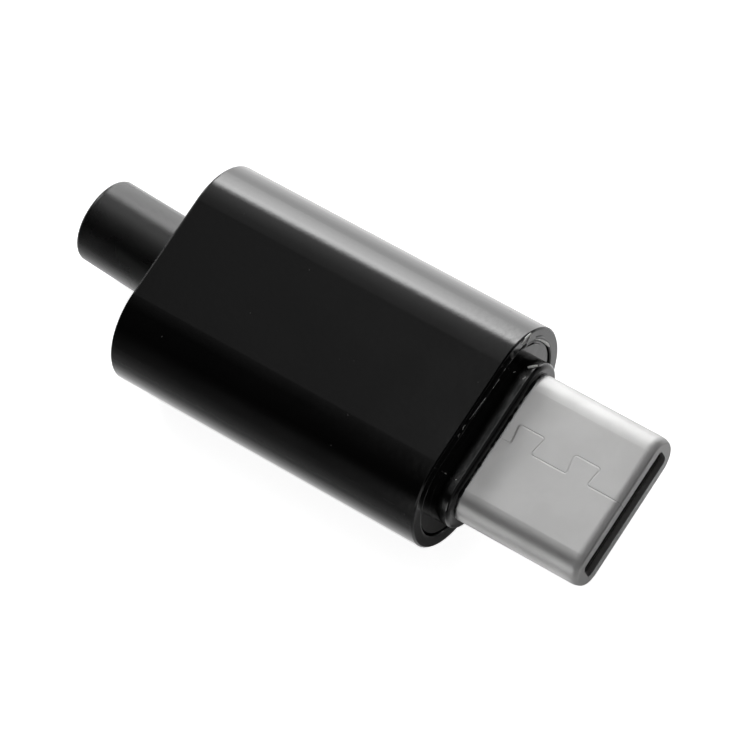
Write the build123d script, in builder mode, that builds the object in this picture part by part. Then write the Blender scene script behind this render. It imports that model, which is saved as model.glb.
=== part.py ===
from build123d import *
from math import radians, tan
import os

# Cable plug with a reversible 24-position face: a rolled steel plug shell held by a moulded
# front cap, both pushed into a hollow gloss housing with a soft cable boot at its back.
# Millimetres. The origin is the centre of the plug's nose, +X is the mating direction,
# +Y is across the plug and +Z is normal to its flat side.

# Plug shell: sheet steel rolled to a full-round tube, its edges locked by dovetail tabs
shell_width = 8.25
shell_height = 2.40
shell_wall = 0.20
shell_length = 10.0
nose_draw_length = 0.46
nose_draw_depth = 0.11
nose_edge_break = 0.05
nose_lip = 0.30
mouth_width = 6.80
mouth_height = 1.15
mouth_corner = 0.28
leg_length = 2.6
leg_height = 0.95

# Seam in the shell's upper face
seam_offset = 0.07
seam_gap = 0.025
seam_edge_break = 0.03
tab_count = 3
first_tab = 2.53
tab_pitch = 3.23
tab_reach = 1.03
tab_root = 1.17
tab_tip = 1.51
tab_round = 0.14

# Front cap: a plug-shaped moulding with a collar that the shell comes out of
shell_exposed = 7.08
collar_wall = 0.50
collar_length = 1.09
collar_round = 0.22
cap_recess = 0.10
cap_depth = 4.5
cap_edge_break = 0.08
cap_clearance = 0.04
shell_clearance = 0.02
snap_height = 0.12
snap_length = 0.70
snap_width = 5.0
snap_setback = 2.4
snap_clearance = 0.07

# Outer housing
housing_width = 12.25
housing_height = 6.60
housing_length = 18.46
housing_wall = 0.65
seat_ledge = 0.25
rear_wall = 1.20
housing_rear_round = 0.12
housing_front_break = 0.08
housing_rim_break = 0.07

# Cable boot: soft, so it sits a little to one side of its hole and leans
boot_cavity_gap = 0.12
boot_taper = 0.5
boot_tail = 5.28
boot_tip_round = 0.25
boot_hole_clearance = 0.20
boot_wall = 0.63
boot_shift_y = 0.12
boot_shift_z = 0.03
boot_lean_y = 2.8
boot_lean_z = 1.6
boot_flange_width = 6.4
boot_flange_thickness = 1.0
boot_flange_gap = 0.20

# Insulator with the slot for the mating tongue
insulator_clearance = 0.03
lip_gap = 0.02
insulator_length = 7.28
tongue_slot_width = 6.80
tongue_slot_height = 0.90
tongue_slot_depth = 6.0
tongue_slot_corner = 0.20

# Contacts, two rows of twelve places at one pitch
contact_pitch = 0.50
contact_places = 12
lower_unused = (6, 7)
power_places = (1, 4, 9, 12)
contact_width = 0.25
contact_thickness = 0.15
contact_bend = 0.20
contact_gap = 0.54
contact_root_height = 0.62
contact_point = 2.85
power_lead = 0.45
tip_length = 0.50
tip_rise = 0.17
slot_side_clearance = 0.03
slot_roof_clearance = 0.065
slot_end_room = 0.20
step_length = 0.30
tail_length = 1.50

# Contact carriers, moulded round the contacts, with the latch frame between them
carrier_gap = 0.05
carrier_length = 2.65

# Latch frame: one flat stamping with a sprung arm and hook at each side
latch_thickness = 0.24
latch_arm_width = 0.30
latch_side_gap = 0.15
latch_hook_gap = 6.24
latch_hook_setback = 2.30
latch_hook_length = 0.70
latch_arm_tip = 1.75
latch_slot_clearance = 0.05
latch_tip_room = 0.20
latch_flex_room = 0.10
latch_tail = 0.30

# Ground springs above and below the tongue slot
spring_thickness = 0.10
spring_bend = 0.15
spring_width = 5.8
spring_back = 3.40
spring_root = 1.50
finger_point = 1.05
finger_tip = 0.75
finger_gap = 0.72
finger_tip_rise = 0.16
finger_count = 4
finger_pitch = 1.60
finger_width = 0.90
window_margin = 0.10
pocket_clearance = 0.05

# Circuit card and what is soldered to it
card_thickness = 0.64
card_edge_gap = 0.08
card_side_gap = 0.42
card_neck_room = 0.25
card_corner = 0.40
wire_room = 1.60
chip_length = 1.00
chip_width = 0.50
resistor_height = 0.35
capacitor_height = 0.50
chip_terminal = 0.22
terminal_film = 0.03
chip_setback = 3.0
resistor_y = 2.4
capacitor_y = -2.4
pad_count = 4
pad_pitch = 2.1
pad_length = 2.4
pad_width = 1.3
pad_thickness = 0.05
pad_inset = 0.5

# Places along X that follow from the sizes
shell_back = -shell_length
leg_back = shell_back - leg_length
collar_front = -shell_exposed
cap_face = collar_front - collar_length
cap_back = cap_face - cap_depth
housing_front = cap_face + cap_recess
housing_back = housing_front - housing_length
rear_wall_face = housing_back + rear_wall
insulator_front = -nose_lip - lip_gap
insulator_back = insulator_front - insulator_length
carrier_front = insulator_back - carrier_gap
carrier_back = carrier_front - carrier_length
card_front = carrier_back - latch_tail
card_shoulder = min(leg_back, cap_back) - card_neck_room
flange_front = rear_wall_face + boot_flange_gap + boot_flange_thickness
card_back = flange_front + wire_room

# Sections that follow from the sizes
shell_flat = shell_width - shell_height
shell_inner_width = shell_width - 2 * shell_wall
shell_inner_height = shell_height - 2 * shell_wall
insulator_width = shell_inner_width - 2 * insulator_clearance
insulator_height = shell_inner_height - 2 * insulator_clearance
pocket_width = housing_width - 2 * housing_wall
pocket_height = housing_height - 2 * housing_wall
cavity_width = pocket_width - 2 * seat_ledge
cavity_height = pocket_height - 2 * seat_ledge
boot_radius = cavity_height / 2 - boot_cavity_gap
boot_bore_radius = boot_radius - boot_wall
cap_width = pocket_width - 2 * cap_clearance
cap_height = pocket_height - 2 * cap_clearance
bore_width = shell_width + 2 * shell_clearance
bore_height = shell_height + 2 * shell_clearance
slot_width = contact_width + 2 * slot_side_clearance
slot_roof = contact_root_height + contact_thickness / 2 + slot_roof_clearance
tail_height = (card_thickness + contact_thickness) / 2
point_height = (contact_gap + contact_thickness) / 2
latch_outer = shell_inner_width / 2 - latch_side_gap
window_back = -spring_root - window_margin
window_front = -finger_tip + window_margin
snap_middle = cap_face - snap_setback
boot_axis = (-1, tan(radians(boot_lean_y)), tan(radians(boot_lean_z)))


def places(unused=()):
    """The numbered contact places of one row, each with its distance across the plug."""
    middle = (contact_places + 1) / 2
    numbers = [n for n in range(1, contact_places + 1) if n not in unused]
    return [(n, (n - middle) * contact_pitch) for n in numbers]


def save(piece, name):
    piece.part.label = name
    export_step(piece.part, f"parts/{name}.step")


def seam_points():
    """The seam's corners from the nose backwards, with one dovetail tab after another."""
    points = [(0, seam_offset)]
    for number in range(tab_count):
        middle = -first_tab - number * tab_pitch
        points += [
            (middle + tab_root / 2, seam_offset),
            (middle + tab_tip / 2, seam_offset + tab_reach),
            (middle - tab_tip / 2, seam_offset + tab_reach),
            (middle - tab_root / 2, seam_offset),
        ]
    return points + [(shell_back, seam_offset)]


def shell_half_section(plane):
    """Upper half of the shell's section along X, its nose drawn in to a curve."""
    with BuildSketch(plane) as half:
        with BuildLine():
            flank = Line((leg_back, shell_height / 2), (-nose_draw_length, shell_height / 2))
            drawn = (-nose_edge_break, shell_height / 2 - nose_draw_depth)
            nose = TangentArc(flank @ 1, drawn, tangent=flank % 1)
            front = (0, shell_height / 2 - nose_draw_depth - nose_edge_break)
            Polyline(nose @ 1, front, (0, 0), (leg_back, 0), flank @ 0)
        make_face()
    return half.sketch


def make_plug_shell():
    with BuildPart() as shell:
        extrude(shell_half_section(Plane.XZ), amount=shell_flat / 2, both=True)
        mirror(about=Plane.XY)
        for side in (1, -1):
            middle = Axis((0, side * shell_flat / 2, 0), (-side, 0, 0))
            half = shell_half_section(Plane.XZ.offset(-side * shell_flat / 2))
            revolve(half, axis=middle, revolution_arc=180)
        with BuildSketch(Plane.YZ.offset(-nose_lip)):
            SlotOverall(shell_inner_width, shell_inner_height)
        extrude(amount=leg_back + nose_lip, mode=Mode.SUBTRACT)
        with BuildSketch(Plane.YZ.offset(-nose_lip)):
            RectangleRounded(mouth_width, mouth_height, mouth_corner)
        extrude(amount=nose_lip, mode=Mode.SUBTRACT)
        # Behind the tube only a strip at each side goes on, soldered to the card's edge
        with BuildSketch(Plane.YZ.offset(leg_back)):
            for side in (1, -1):
                with Locations((0, side * (shell_height + leg_height) / 2)):
                    Rectangle(2 * shell_width, shell_height)
        extrude(amount=leg_length, mode=Mode.SUBTRACT)
        # The seam goes through the upper wall and the nose, and its upper edges are eased
        with BuildSketch(Plane.XY):
            with BuildLine():
                FilletPolyline(seam_points(), radius=tab_round)
            trace(line_width=seam_gap)
        extrude(amount=shell_height / 2, mode=Mode.SUBTRACT)
        upper = shell.edges().filter_by_position(Axis.Z, shell_height / 2, shell_height / 2)
        inside = upper.filter_by_position(Axis.Y, -tab_reach, seam_offset + tab_reach + seam_gap)
        ends = upper.filter_by_position(Axis.X, shell_back, shell_back)
        ends += upper.filter_by_position(Axis.X, -nose_draw_length, -nose_draw_length)
        chamfer([edge for edge in inside if edge not in ends], seam_edge_break)
    return shell


def make_front_cap():
    with BuildPart() as cap:
        with BuildSketch(Plane.YZ.offset(cap_back)):
            SlotOverall(cap_width, cap_height)
        extrude(amount=cap_depth)
        chamfer(cap.faces().sort_by(Axis.X)[-1].edges(), cap_edge_break)
        with BuildSketch(Plane.YZ.offset(cap_face)):
            SlotOverall(shell_width + 2 * collar_wall, shell_height + 2 * collar_wall)
        extrude(amount=collar_length)
        fillet(cap.faces().sort_by(Axis.X)[-1].edges(), collar_round)
        with BuildSketch(Plane.XZ):
            with BuildLine():
                Polyline(
                    (snap_middle - snap_length / 2, cap_height / 2 - snap_height),
                    (snap_middle - snap_length / 2, cap_height / 2),
                    (snap_middle, cap_height / 2 + snap_height),
                    (snap_middle + snap_length / 2, cap_height / 2),
                    (snap_middle + snap_length / 2, cap_height / 2 - snap_height),
                    close=True,
                )
            make_face()
            mirror(about=Plane.XZ)
        extrude(amount=snap_width / 2, both=True)
        with BuildSketch(Plane.YZ.offset(cap_back)):
            SlotOverall(bore_width, bore_height)
        extrude(amount=cap_depth + collar_length, mode=Mode.SUBTRACT)
    return cap


def make_outer_housing():
    with BuildPart() as housing:
        with BuildSketch(Plane.YZ.offset(housing_back)):
            SlotOverall(housing_width, housing_height)
        extrude(amount=housing_length)
        chamfer(housing.faces().sort_by(Axis.X)[-1].edges(), housing_front_break)
        fillet(housing.faces().sort_by(Axis.X)[0].edges(), housing_rear_round)
        with BuildSketch(Plane.YZ.offset(cap_back)):
            SlotOverall(pocket_width, pocket_height)
        extrude(amount=housing_front - cap_back, mode=Mode.SUBTRACT)
        rim = housing.faces().sort_by(Axis.X)[-1].inner_wires()[0]
        chamfer(rim.edges(), housing_rim_break)
        with BuildSketch(Plane.YZ.offset(rear_wall_face)):
            SlotOverall(cavity_width, cavity_height)
        extrude(amount=cap_back - rear_wall_face, mode=Mode.SUBTRACT)
        with BuildSketch(Plane.YZ.offset(housing_back)):
            Circle(boot_radius + boot_hole_clearance)
        extrude(amount=rear_wall, mode=Mode.SUBTRACT)
        # Grooves in the flat walls that the cap's two ribs snap into
        with BuildSketch(Plane.XZ):
            with Locations((snap_middle, 0)):
                Rectangle(
                    snap_length + 2 * snap_clearance,
                    cap_height + 2 * (snap_height + snap_clearance),
                )
        extrude(amount=snap_width / 2 + snap_clearance, both=True, mode=Mode.SUBTRACT)
    return housing


def make_cable_boot():
    seat = rear_wall + boot_flange_gap
    outlet = Plane(origin=(housing_back, boot_shift_y, boot_shift_z), x_dir=(0, 1, 0), z_dir=boot_axis)
    with BuildPart() as boot:
        with BuildSketch(outlet.offset(-seat)):
            Circle(boot_radius)
        extrude(amount=seat)
        with BuildSketch(outlet):
            Circle(boot_radius)
        extrude(amount=boot_tail, taper=boot_taper)
        fillet(boot.faces().sort_by(Axis.X)[0].edges(), boot_tip_round)
        with BuildSketch(outlet.offset(-seat - boot_flange_thickness)):
            SlotOverall(boot_flange_width, 2 * boot_radius)
        extrude(amount=boot_flange_thickness)
        with BuildSketch(outlet.offset(boot_tail)):
            Circle(boot_bore_radius)
        extrude(amount=-boot_tail - seat - boot_flange_thickness, mode=Mode.SUBTRACT)
    return boot


def make_front_insulator():
    with BuildPart() as insulator:
        with BuildSketch(Plane.YZ.offset(insulator_back)):
            SlotOverall(insulator_width, insulator_height)
        extrude(amount=insulator_length)
        with BuildSketch(Plane.YZ.offset(insulator_front)):
            RectangleRounded(tongue_slot_width, tongue_slot_height, tongue_slot_corner)
        extrude(amount=-tongue_slot_depth, mode=Mode.SUBTRACT)
        for side, unused in ((1, ()), (-1, lower_unused)):
            # A slot for each contact beam, from the carrier to just ahead of its tip
            with BuildSketch(Plane.XY):
                for number, across in places(unused):
                    ahead = point_of(number) + tip_length + slot_end_room
                    with Locations((insulator_back, across)):
                        Rectangle(ahead - insulator_back, slot_width, align=(Align.MIN, Align.CENTER))
            extrude(amount=side * slot_roof, mode=Mode.SUBTRACT)
            # A shallow pocket for the ground spring and a window for each of its fingers
            with BuildSketch(Plane.XY.offset(side * (insulator_height / 2 - spring_thickness))):
                with Locations((-spring_back - pocket_clearance, 0)):
                    Rectangle(
                        window_back + spring_back + 2 * pocket_clearance,
                        spring_width + 2 * pocket_clearance,
                        align=(Align.MIN, Align.CENTER),
                    )
            extrude(amount=side * spring_thickness, mode=Mode.SUBTRACT)
            with BuildSketch(Plane.XY):
                with Locations(((window_back + window_front) / 2, 0)):
                    with GridLocations(0, finger_pitch, 1, finger_count):
                        Rectangle(window_front - window_back, finger_width + 2 * pocket_clearance)
            extrude(amount=side * insulator_height / 2, mode=Mode.SUBTRACT)
        # The latch arms run in a slot along each side
        with BuildSketch(Plane.XY.offset(-latch_thickness / 2 - latch_slot_clearance)):
            for side in (1, -1):
                with Locations((insulator_back, side * insulator_width / 2)):
                    Rectangle(
                        -latch_arm_tip + latch_tip_room - insulator_back,
                        insulator_width - latch_hook_gap + 2 * latch_flex_room,
                        align=(Align.MIN, Align.CENTER),
                    )
        extrude(amount=latch_thickness + 2 * latch_slot_clearance, mode=Mode.SUBTRACT)
    return insulator


def point_of(number):
    """Where a contact touches the tongue: power and ground places meet it first."""
    return -contact_point + (power_lead if number in power_places else 0)


def make_contact(number, across, side):
    point = point_of(number)
    with BuildPart() as contact:
        with BuildSketch(Plane.XZ.offset(-across)):
            with BuildLine():
                tail_and_root = Polyline(
                    (card_front - step_length / 2 - tail_length, side * tail_height),
                    (card_front - step_length / 2, side * tail_height),
                    (card_front + step_length / 2, side * contact_root_height),
                    (insulator_back + step_length, side * contact_root_height),
                )
                FilletPolyline(
                    tail_and_root @ 1,
                    (point, side * point_height),
                    (point + tip_length, side * (point_height + tip_rise)),
                    radius=contact_bend,
                )
            trace(line_width=contact_thickness)
        extrude(amount=contact_width / 2, both=True)
    return contact


def make_contact_carrier(side, unused):
    with BuildPart() as carrier:
        with BuildSketch(Plane.YZ.offset(carrier_back)):
            SlotOverall(insulator_width, insulator_height)
            with Locations((0, side * (latch_thickness - insulator_height) / 2)):
                Rectangle(2 * insulator_width, insulator_height, mode=Mode.SUBTRACT)
            with Locations([(across, side * contact_root_height) for _, across in places(unused)]):
                Rectangle(contact_width, contact_thickness, mode=Mode.SUBTRACT)
        extrude(amount=carrier_length)
    return carrier


def make_latch_frame():
    arm_inner = latch_outer - latch_arm_width
    with BuildPart() as frame:
        with BuildSketch(Plane.XY):
            with Locations((card_front, 0)):
                Rectangle(carrier_front - card_front, 2 * latch_outer, align=(Align.MIN, Align.CENTER))
            with BuildLine():
                Polyline(
                    (carrier_front, arm_inner),
                    (-latch_hook_setback - latch_hook_length, arm_inner),
                    (-latch_hook_setback - latch_hook_length / 2, latch_hook_gap / 2),
                    (-latch_hook_setback, latch_hook_gap / 2),
                    (-latch_arm_tip, arm_inner),
                    (-latch_arm_tip, latch_outer),
                    (carrier_front, latch_outer),
                    close=True,
                )
            make_face()
            mirror(about=Plane.XZ)
        extrude(amount=latch_thickness / 2, both=True)
    return frame


def make_ground_spring(side):
    plate = (insulator_height - spring_thickness) / 2
    point = (finger_gap + spring_thickness) / 2
    with BuildPart() as spring:
        with BuildSketch(Plane.XZ):
            with BuildLine():
                FilletPolyline(
                    (-spring_back, side * plate),
                    (-spring_root, side * plate),
                    (-finger_point, side * point),
                    (-finger_tip, side * (point + finger_tip_rise)),
                    radius=spring_bend,
                )
            trace(line_width=spring_thickness)
        extrude(amount=spring_width / 2, both=True)
        # Slits between the fingers, and a cut past the outer ones
        with BuildSketch(Plane.XY.offset(-insulator_height / 2)):
            with Locations((window_back, 0)):
                Rectangle(-window_back, 2 * spring_width, align=(Align.MIN, Align.CENTER))
                with GridLocations(0, finger_pitch, 1, finger_count):
                    Rectangle(
                        -window_back,
                        finger_width,
                        align=(Align.MIN, Align.CENTER),
                        mode=Mode.SUBTRACT,
                    )
        extrude(amount=insulator_height, mode=Mode.SUBTRACT)
    return spring


def make_paddle_card():
    with BuildPart() as card:
        with BuildSketch(Plane.XY):
            with Locations((card_back, 0)):
                Rectangle(
                    card_shoulder - card_back,
                    cavity_width - 2 * card_side_gap,
                    align=(Align.MIN, Align.CENTER),
                )
            with Locations((card_shoulder, 0)):
                Rectangle(
                    card_front - card_shoulder,
                    shell_inner_width - 2 * card_edge_gap,
                    align=(Align.MIN, Align.CENTER),
                )
        extrude(amount=card_thickness / 2, both=True)
        fillet(card.edges().filter_by(Axis.Z).group_by(Axis.X)[0], card_corner)
    return card


def make_chip(across, height):
    """A two-terminal chip on the card's upper face, its end caps a film thicker."""
    seat = card_thickness / 2
    with BuildPart() as chip:
        with BuildSketch(Plane.XY.offset(seat + terminal_film)):
            with Locations((card_shoulder - chip_setback, across)):
                Rectangle(chip_length, chip_width)
        extrude(amount=height - 2 * terminal_film)
        with BuildSketch(Plane.XY.offset(seat)):
            with Locations((card_shoulder - chip_setback, across)):
                with GridLocations(chip_length - chip_terminal, 0, 2, 1):
                    Rectangle(chip_terminal, chip_width + 2 * terminal_film)
        extrude(amount=height)
    return chip


def make_wire_pads(side):
    with BuildPart() as pads:
        with BuildSketch(Plane.XY.offset(side * card_thickness / 2)):
            with Locations((card_back + pad_inset + pad_length / 2, 0)):
                with GridLocations(0, pad_pitch, 1, pad_count):
                    Rectangle(pad_length, pad_width)
        extrude(amount=side * pad_thickness)
    return pads


os.makedirs("parts", exist_ok=True)

save(make_plug_shell(), "plug_shell")
save(make_front_cap(), "front_cap")
save(make_outer_housing(), "outer_housing")
save(make_cable_boot(), "cable_boot")
save(make_front_insulator(), "front_insulator")
save(make_latch_frame(), "latch_frame")
save(make_paddle_card(), "paddle_card")
save(make_chip(resistor_y, resistor_height), "chip_resistor")
save(make_chip(capacitor_y, capacitor_height), "chip_capacitor")

for row, side, unused in (("upper", 1, ()), ("lower", -1, lower_unused)):
    save(make_contact_carrier(side, unused), f"{row}_contact_carrier")
    save(make_ground_spring(side), f"{row}_ground_spring")
    save(make_wire_pads(side), f"{row}_wire_pads")
    for number, across in places(unused):
        save(make_contact(number, across, side), f"{row}_contact_{number:02d}")
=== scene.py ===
"""Finishes, small moulding marks and a studio stage for a reversible cable plug."""
import math

import bmesh
import bpy
from bpy.props import (
    FloatProperty,
    FloatVectorProperty,
    IntProperty,
    PointerProperty,
)
from mathutils import Matrix, Vector, noise


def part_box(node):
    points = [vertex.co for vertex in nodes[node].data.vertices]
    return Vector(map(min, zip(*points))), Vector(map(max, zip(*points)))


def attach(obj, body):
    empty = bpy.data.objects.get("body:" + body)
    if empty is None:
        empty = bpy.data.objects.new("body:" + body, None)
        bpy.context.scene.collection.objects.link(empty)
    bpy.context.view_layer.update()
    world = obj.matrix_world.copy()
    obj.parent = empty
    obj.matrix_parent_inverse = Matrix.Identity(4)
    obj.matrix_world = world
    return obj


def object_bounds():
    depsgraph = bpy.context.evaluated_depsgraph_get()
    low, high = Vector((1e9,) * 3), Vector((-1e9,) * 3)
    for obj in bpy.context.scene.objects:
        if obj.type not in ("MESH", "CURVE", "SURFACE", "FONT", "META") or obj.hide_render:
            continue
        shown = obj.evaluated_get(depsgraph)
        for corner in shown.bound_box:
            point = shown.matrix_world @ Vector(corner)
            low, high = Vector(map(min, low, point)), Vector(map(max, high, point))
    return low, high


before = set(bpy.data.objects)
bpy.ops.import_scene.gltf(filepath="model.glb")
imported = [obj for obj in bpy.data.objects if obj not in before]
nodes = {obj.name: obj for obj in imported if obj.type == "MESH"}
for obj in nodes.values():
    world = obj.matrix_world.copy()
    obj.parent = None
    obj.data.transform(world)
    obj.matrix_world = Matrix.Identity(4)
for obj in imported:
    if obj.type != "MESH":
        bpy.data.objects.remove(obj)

bl_info = {
    "name": "Cable plug dressing",
    "version": (1, 0, 0),
    "blender": (4, 5, 0),
    "location": "3D View > Sidebar > Plug",
    "description": "Gives a cable plug its finishes, moulding marks and studio stage",
    "category": "Object",
}

MM = 0.001
BODY = "root"
# A speck of dust, and how much darker the shell's plating is where it is stained
DUST_COLOUR = (0.04, 0.04, 0.04)
DUST_ROUGHNESS = 0.7
STAIN = 0.97
shell_low, shell_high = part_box("plug_shell")
cap_low, cap_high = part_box("front_cap")
part_low, part_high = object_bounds()

# The collar's front, and the cap's face inside the housing's mouth
COLLAR_FRONT = cap_high.x
COLLAR_LENGTH = 1.09 * MM
CAP_FACE = COLLAR_FRONT - COLLAR_LENGTH

# The frame that the camera is set for, and where the plug's nose stands in it
PICTURE_SIDE = 750
NOSE_PIXEL = (625.125, 514.281)
SENSOR_WIDTH = 36.0

# The gap between the housing's rim and the cap: its middle line's height and straight length,
# and how far the glue in it is ahead of the cap's face
GAP_HEIGHT = 5.36 * MM
GAP_STRAIGHT = 5.65 * MM
GLUE_LIFT = 0.075 * MM
# Where glue stands out of the gap: the middle and half length of each run as shares of the way
# round from the top of the +Y end, and its size beside that of the rest
GLUE_RUNS = (
    (0.067, 0.042, 1.0),
    (0.135, 0.020, 0.9),
    (0.300, 0.060, 0.5),
    (0.946, 0.012, 1.2),
    (0.990, 0.016, 0.9),
)
GLUE_FILL = 0.45

# Glue strokes whose pale colour paints the glints and highlights on the rim's face and the
# collar: points in X, Y and Z and a radius, all in millimetres. RING is the place along X of the
# housing's front edge
RING = -8.06
PAINTED_GLINT_STROKES = (
    (((RING, 4.24, 2.70), (RING, 4.60, 2.68), (RING, 4.98, 2.50)), 0.052),
    (((RING, 4.36, 2.12), (RING, 4.64, 2.27), (RING, 4.98, 2.46)), 0.048),
    (((RING, 4.32, 2.46), (RING, 4.52, 2.34)), 0.034),
    (((RING, 5.02, 1.60), (RING, 5.20, 1.20), (RING, 5.32, 0.76)), 0.045),
    (((RING, 5.24, 1.06), (RING, 5.38, 0.50), (RING, 5.45, 0.05), (RING, 5.46, -0.2)), 0.075),
    (((RING, 2.70, 2.70), (RING, 2.92, 2.69)), 0.026),
    (((RING, 3.08, 2.68), (RING, 3.20, 2.67)), 0.017),
    (((RING, 3.36, 2.66), (RING, 3.46, 2.64)), 0.012),
    (((RING, 2.26, 2.60), (RING, 1.50, 2.68), (RING, 0.70, 2.78)), 0.017),
    (((RING, 0.80, 2.77), (RING, 0.20, 2.84), (RING, -0.20, 2.90)), 0.010),
    (((RING, -0.55, 2.94), (RING, -0.70, 3.02), (RING, -0.82, 2.90)), 0.009),
    (((RING, -1.02, 2.92), (RING, -1.16, 2.98), (RING, -1.22, 2.86)), 0.008),
    # Dabs on the collar whose pale colour paints its soft highlights
    (((-7.62, 3.64, 1.56), (-7.46, 3.82, 1.47), (-7.34, 3.98, 1.35)), 0.085),
    (((-7.44, 3.00, 1.69), (-7.38, 3.16, 1.68)), 0.05),
    (((-8.05, 3.06, 1.68), (-7.96, 3.16, 1.67)), 0.035),
    (((-8.14, -2.82, 1.70), (-8.08, -2.78, 1.70), (-8.02, -2.82, 1.70)), 0.026),
    (((-7.48, -2.84, 1.70), (-7.42, -2.80, 1.70)), 0.034),
)
# Strokes of the cap's own black beside the pale strokes that paint glints
BLACK_STROKES = (
    (((-8.15, 4.44, 1.80), (-8.15, 4.88, 1.28), (-8.15, 5.14, 0.62)), 0.05),
    (((RING, 5.14, 1.66), (RING, 5.36, 1.26), (RING, 5.52, 0.86)), 0.05),
)

# The seam in the shell's upper face, all in millimetres: its line's Y, where it starts at the
# nose and ends under the collar, and its dovetail tabs
SEAM_LINE = 0.07
SEAM_START = (-0.05, -0.25, -0.46)
SEAM_END = -7.2
SEAM_FIRST = -2.53
SEAM_PITCH = -3.23
SEAM_TABS = 2
SEAM_REACH = 1.03
SEAM_ROOT = 1.17
SEAM_TIP = 1.51
SEAM_ROUND = 0.14
# A turn of the seam's line in radians that is too small to round
SLIGHT_TURN = 0.05
# Half the groove's width, its depth, how far its lowest line is beside its middle, and how far
# its edges stand over the shell's face
GROOVE = (0.055, 0.012, 0.02, 0.0005)
# The drawn nose's length and depth, and the length over which its drop is reckoned
NOSE_DRAW = (0.46, 0.11)
NOSE_ARC = 0.41

# Softboxes bent round the plug: their reach along X as cosines of the direction, and their
# brightness by angle from the zenith towards +Y, in degrees. The housing mirrors what is over it
# and the shell's duller steel gathers what is beside that
OVER_HOUSING = (-0.50, -0.36)
OVER_SHELL = (-0.34, -0.14)
AHEAD = (0.45, 0.90)
SOFTBOXES = (
    (
        "key_softbox",
        OVER_HOUSING,
        ((49, 1.05), (54, 3.9), (59, 9.9), (64, 10.6), (69, 8.8), (76, 7.4), (84, 5.6), (92, 4.4)),
    ),
    (
        "upper_softbox",
        OVER_HOUSING,
        ((-14, 0), (0, 0.06), (12, 0.24), (24, 0.4), (36, 0.68), (49, 1.05)),
    ),
    (
        "metal_softbox",
        OVER_SHELL,
        (
            *((-34, 0), (-24, 0.75), (0, 1.5), (14, 1.8), (20, 3.4)),
            *((26, 4.4), (32, 3.2), (38, 1.0), (54, 0.8), (58, 0)),
        ),
    ),
    ("left_softbox", (-0.80, -0.60), ((4, 0), (12, 2.2), (28, 2.4), (35, 7.8), (45, 8.0), (52, 0))),
    ("front_softbox", (0.10, 0.70), ((-60, 0), (-50, 0.17), (50, 0.17), (60, 0))),
    ("back_softbox", OVER_SHELL, ((-92, 3.4), (-66, 3.4), (-56, 0))),
    ("low_softbox", OVER_HOUSING, ((-92, 0.10), (-76, 0.06), (-60, 0.02), (-46, 0))),
    ("far_left_softbox", AHEAD, ((-96, 0.6), (-55, 0.6), (-40, 0))),
    ("far_right_softbox", AHEAD, ((66, 0), (76, 0.5), (96, 0.5))),
    ("behind_softbox", (-0.97, -0.84), ((-90, 0), (-70, 0.7), (70, 0.7), (90, 0))),
)
# How wide a softbox's edges fade, as a cosine, and how far it hangs in metres
SOFT_EDGE = 0.015
SOFTBOX_DISTANCE = 0.6

# The glowing card beside the housing, which only gloss shows, paints a pool of light into its
# reflections: how much of it shows by its place along X, and its brightness by its place along Y,
# all in millimetres
SIDE_CARD_ACROSS = ((-400, 1.0), (-11, 1.0), (-7.5, 0.0))
SIDE_CARD = ((7.4, 1.0), (10, 1.9), (16, 2.6), (30, 2.9), (60, 3.5), (400, 4.4))
# The dim glowing card on the far floor, which only gloss shows, paints the far floor's shade into
# reflections: its ends along X, and its brightness by its place along Y
FAR_CARD_ENDS = (-400, 100)
FAR_CARD = ((-15, 0.38), (-22, 0.29), (-40, 0.18), (-400, 0.12))
CARD_HEIGHT = 0.05 * MM

# The floor's half side in metres, the brightness of the backdrop, the world and the broad fill,
# and the fill's side and direction
FLOOR_HALF = 3.0
BACKDROP_LEVEL = 0.86
WORLD_LEVEL = 0.01
FILL_LEVEL = 0.6
FILL_SIZE = 0.6
FILL_WAY = (-0.35, 0.5, 0.8)


def set_inputs(tree, made, inputs):
    """Gives a node's sockets their values or links, by name or number."""
    for key, value in inputs.items():
        socket = made.inputs[key]
        if isinstance(value, bpy.types.NodeSocket):
            tree.links.new(value, socket)
        else:
            socket.default_value = value


def add_node(tree, kind, inputs=None, **settings):
    """A new node of one kind with its settings and inputs."""
    made = tree.nodes.new(kind)
    for key, value in settings.items():
        setattr(made, key, value)
    set_inputs(tree, made, inputs or {})
    return made


def product(tree, *values):
    """The product of several sockets."""
    result = values[0]
    for value in values[1:]:
        made = add_node(tree, "ShaderNodeMath", {0: result, 1: value}, operation="MULTIPLY")
        result = made.outputs[0]
    return result


def new_group(name, kind, inputs, outputs):
    """An empty node group with named sockets, and its input and output nodes."""
    tree = bpy.data.node_groups.new(name, kind)
    for socket_name, socket_type, default in inputs:
        socket = tree.interface.new_socket(socket_name, in_out="INPUT", socket_type=socket_type)
        if default is not None:
            socket.default_value = default
    for socket_name, socket_type in outputs:
        tree.interface.new_socket(socket_name, in_out="OUTPUT", socket_type=socket_type)
    return tree, tree.nodes.new("NodeGroupInput"), tree.nodes.new("NodeGroupOutput")


def grain_group():
    """Fine grain of a moulded or plated surface: a height round 0.5 at one feature size."""
    tree, given, result = new_group(
        "Surface grain",
        "ShaderNodeTree",
        [
            ("Vector", "NodeSocketVector", None),
            ("Features per metre", "NodeSocketFloat", 10000.0),
            ("Roughness", "NodeSocketFloat", 0.5),
        ],
        [("Height", "NodeSocketFloat")],
    )
    fine = add_node(
        tree,
        "ShaderNodeTexNoise",
        {
            "Vector": given.outputs["Vector"],
            "Scale": given.outputs["Features per metre"],
            "Detail": 3.0,
            "Roughness": given.outputs["Roughness"],
        },
    )
    set_inputs(tree, result, {"Height": fine.outputs[0]})
    return tree


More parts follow.
